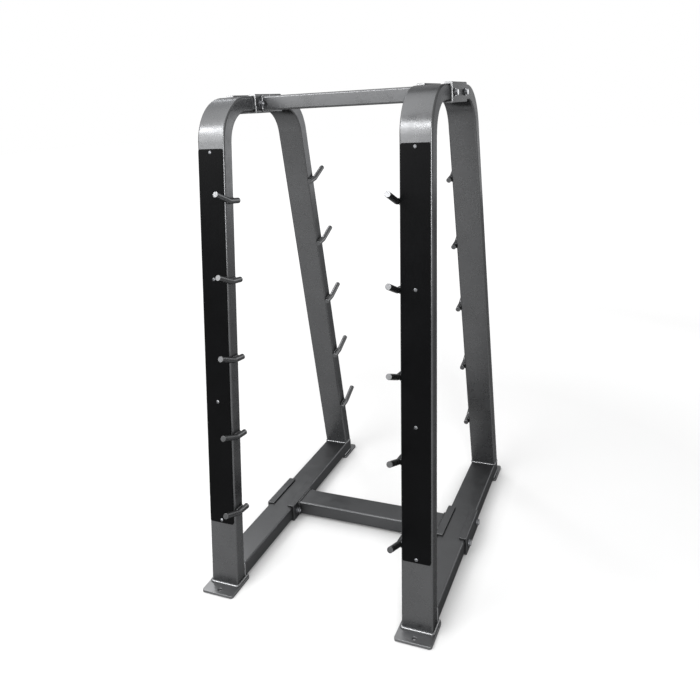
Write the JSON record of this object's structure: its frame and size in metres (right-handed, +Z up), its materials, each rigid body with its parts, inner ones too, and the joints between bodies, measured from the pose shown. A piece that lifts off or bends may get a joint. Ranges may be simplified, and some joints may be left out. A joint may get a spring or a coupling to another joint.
{
  "type": "barbell storage rack",
  "caption": "Free-standing rack of two bent tube arches joined by crossbars, with rod hooks on the inner side of every leg to hold fixed barbells front and rear.",
  "frame": {"origin": "on the floor at the middle of the rack's footprint", "axes": "+Z up, -Y the front with the guard panels, +X to the right seen from the front"},
  "size_m": [0.8324, 1.123, 1.6673],
  "materials": {
    "frame_paint": "medium grey metallic powder coat, satin",
    "saddle_paint": "medium grey metallic powder coat, satin",
    "foot_paint": "medium grey metallic powder coat, satin, scuffed at the edges",
    "hook_paint": "medium grey metallic powder coat, rubbed where bars rest",
    "bolt_zinc": "bright zinc plate",
    "screw_zinc": "bright zinc plate",
    "guard_plastic": "black, smooth with a low sheen",
    "cap_plastic": "black, fine moulded grain"
  },
  "bodies": {
    "root": {"arch_left": "frame_paint", "arch_right": "frame_paint", "base_rail_left": "frame_paint", "base_rail_right": "frame_paint", "bottom_crossbar": "frame_paint", "bottom_inner_saddle_left": "saddle_paint", "bottom_inner_saddle_right": "saddle_paint", "bottom_outer_saddle_left": "saddle_paint", "bottom_outer_saddle_right": "saddle_paint", "foot_plate_front_left": "foot_paint", "foot_plate_front_right": "foot_paint", "foot_plate_rear_left": "foot_paint", "foot_plate_rear_right": "foot_paint", "guard_panel_left": "guard_plastic", "guard_panel_right": "guard_plastic", "hook_front_left_1": "hook_paint", "hook_front_left_2": "hook_paint", "hook_front_left_3": "hook_paint", "hook_front_left_4": "hook_paint", "hook_front_left_5": "hook_paint", "hook_front_right_1": "hook_paint", "hook_front_right_2": "hook_paint", "hook_front_right_3": "hook_paint", "hook_front_right_4": "hook_paint", "hook_front_right_5": "hook_paint", "hook_rear_left_1": "hook_paint", "hook_rear_left_2": "hook_paint", "hook_rear_left_3": "hook_paint", "hook_rear_left_4": "hook_paint", "hook_rear_left_5": "hook_paint", "hook_rear_right_1": "hook_paint", "hook_rear_right_2": "hook_paint", "hook_rear_right_3": "hook_paint", "hook_rear_right_4": "hook_paint", "hook_rear_right_5": "hook_paint", "panel_screw_left_1": "screw_zinc", "panel_screw_left_2": "screw_zinc", "panel_screw_left_3": "screw_zinc", "panel_screw_left_4": "screw_zinc", "panel_screw_right_1": "screw_zinc", "panel_screw_right_2": "screw_zinc", "panel_screw_right_3": "screw_zinc", "panel_screw_right_4": "screw_zinc", "rail_end_cap_left": "cap_plastic", "rail_end_cap_right": "cap_plastic", "through_bolt_bottom_left_front": "bolt_zinc", "through_bolt_bottom_left_rear": "bolt_zinc", "through_bolt_bottom_right_front": "bolt_zinc", "through_bolt_bottom_right_rear": "bolt_zinc", "through_bolt_top_left_front": "bolt_zinc", "through_bolt_top_left_rear": "bolt_zinc", "through_bolt_top_right_front": "bolt_zinc", "through_bolt_top_right_rear": "bolt_zinc", "top_crossbar": "frame_paint", "top_inner_saddle_left": "saddle_paint", "top_inner_saddle_right": "saddle_paint", "top_outer_saddle_left": "saddle_paint", "top_outer_saddle_right": "saddle_paint"}
  },
  "joints": []
}
